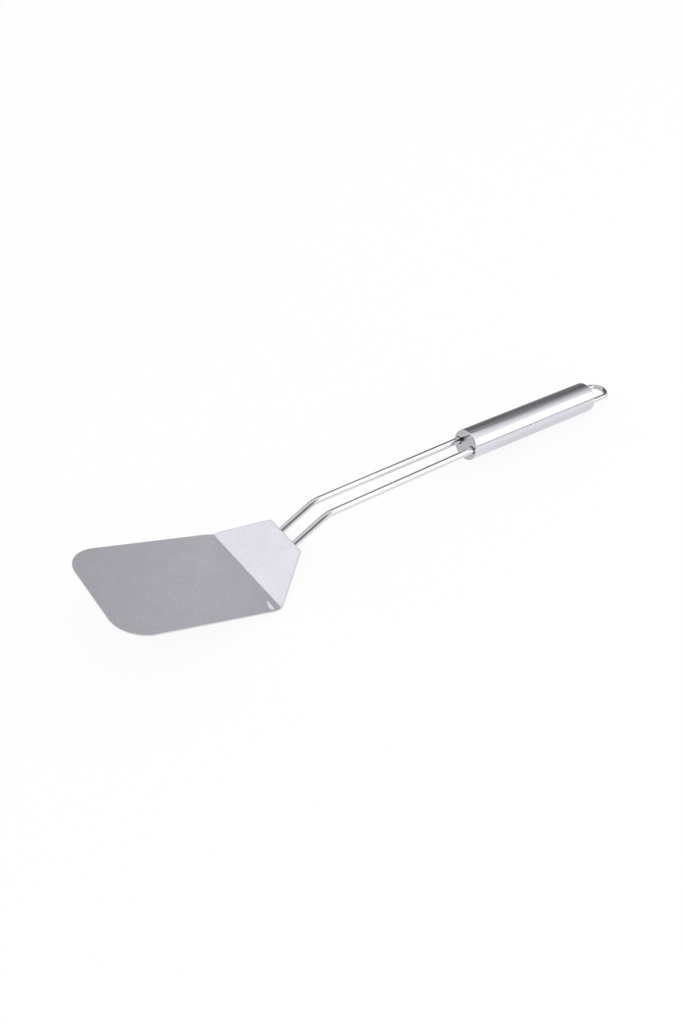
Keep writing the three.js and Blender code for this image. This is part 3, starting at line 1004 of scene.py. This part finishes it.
# %% [markdown]
# The tube was brushed along its length. Noise that is much longer than it is wide gives such lines, without
# drawing a single one.

# %% Brushed tube
TUBE_DARK, TUBE_LIGHT = (0.68, 0.674, 0.73, 1), (0.80, 0.792, 0.86, 1)
RUBBED_LENGTH = 4 * MM  # at either end of the handle


def lengthwise_brushing(tree, place):
    """Tube brushed along its length: long fine lines, with its ends rubbed smoother and brighter."""
    fine = tree.noise(place, [18 * MM, 0.14 * MM, 0.14 * MM])
    coarse = tree.noise(place, [45 * MM, 0.6 * MM, 0.6 * MM])
    distance = tree.node("SeparateXYZ", {}, {"Vector": place}, "X")
    rubbed = tree.ramp(distance, HANDLE_LENGTH - RUBBED_LENGTH, HANDLE_LENGTH) + (
        1 - tree.ramp(distance, 0, RUBBED_LENGTH)
    )
    light = 0.5 + 0.5 * (fine - 0.5) + 0.4 * (coarse - 0.5) + 0.2 * rubbed
    look = {
        "Base Color": tree.mix(light, TUBE_DARK, TUBE_LIGHT),
        "Roughness": 0.16 + 0.08 * (fine - 0.5) + 0.05 * (coarse - 0.5) - 0.04 * rubbed,
    }
    return look, fine + coarse, 0.003 * MM


apply_finish(lengthwise_brushing, [tube])

# %% [markdown]
# The wires are the smoothest, and so they mirror the studio most sharply.

# %% Polished wire
WIRE_DARK, WIRE_LIGHT = (0.71, 0.704, 0.732, 1), (0.77, 0.763, 0.794, 1)


def drawn_polish(tree, place):
    """Drawn wire, polished: faint lines along it and a few dull spots."""
    drawn = tree.noise(place, [40 * MM, 0.5 * MM, 0.5 * MM], detail=1)
    spots = tree.ramp(tree.noise(place, [2.5 * MM] * 3), 0.6, 0.72)
    look = {
        "Base Color": tree.mix(drawn, WIRE_DARK, WIRE_LIGHT),
        "Roughness": 0.07 + 0.03 * (drawn - 0.5) + 0.03 * spots,
    }
    return look, drawn, 0.0008 * MM


apply_finish(drawn_polish, rods + welds + [loop])

# %% [markdown]
# The caps were turned against a polishing wheel, so their lines are rings. On the front cap, a dark patch
# beside the far rod's hole is painted shadow, and a fainter streak from it is the rod's painted reflection.

# %% Polished caps
CAP_DARK, CAP_LIGHT = (0.68, 0.672, 0.703, 1), (0.80, 0.792, 0.83, 1)
# Painted shade: the rim and side of each cap are a darker grey.
CAP_SIDE_SHADE_COLOUR = (0.64, 0.634, 0.68, 1)
# Painted shade on the front cap: a shadow by the far rod's hole, and the rod's dark reflection.
PAINTED_SHADE_COLOUR = (0.03, 0.03, 0.035, 1)
PAINTED_SHADE_TURN = (-0.75, 0, 0)  # radians, about the handle's axis
PAINTED_SHADE_MARKS = (  # middle, half size, share of the size with full strength, and strength
    ((0, 2.94 * MM, 2.55 * MM), (UNLIMITED, 2.6 * MM, 1.8 * MM), 0.5, 0.92),
    ((0, 1.4 * MM, 3.9 * MM), (UNLIMITED, 5.2 * MM, 1.7 * MM), 0.3, 0.4),
)


def wheel_polish(tree, place):
    """Polished cap: faint rings round its middle, a little haze, and painted shade that darkens its rim and
    side.
    """
    off_axis = tree.node("VectorMath", {"operation": "MULTIPLY"}, {"Vector": place, "Vector_001": (0, 1, 1)})
    radius = tree.node("VectorMath", {"operation": "LENGTH"}, {"Vector": off_axis}, "Value")
    rings = tree.noise(tree.node("CombineXYZ", {}, {"X": radius}), [0.16 * MM, 1, 1])
    haze = tree.noise(place, [3 * MM] * 3)
    face = tree.mix(0.7 * rings + 0.3 * haze, CAP_DARK, CAP_LIGHT)
    # Painted shade darkens the rim and side.
    cap = tree.mix(tree.ramp(radius, FACE_RADIUS, HANDLE_RADIUS), face, CAP_SIDE_SHADE_COLOUR)
    look = {"Base Color": cap, "Roughness": 0.15 + 0.05 * (rings - 0.5) + 0.08 * (haze - 0.5)}
    return look, rings, 0.001 * MM


def polish_with_painted_shade(tree, place):
    """A polished cap with painted shade beside the far rod's hole: a dark patch as painted shadow, and a
    fainter streak as the rod's painted reflection.
    """
    look, relief, depth = wheel_polish(tree, place)
    # Each oval paints shade: first the shadow in the hole's gap, then a streak of dark reflection.
    for centre, half_size, core, strength in PAINTED_SHADE_MARKS:
        painted_shade = strength * oval(tree, place, centre, half_size, PAINTED_SHADE_TURN, core)
        look["Base Color"] = tree.mix(painted_shade, look["Base Color"], PAINTED_SHADE_COLOUR)
    return look, relief, depth


apply_finish(polish_with_painted_shade, [front_cap])
apply_finish(wheel_polish, [rear_cap])
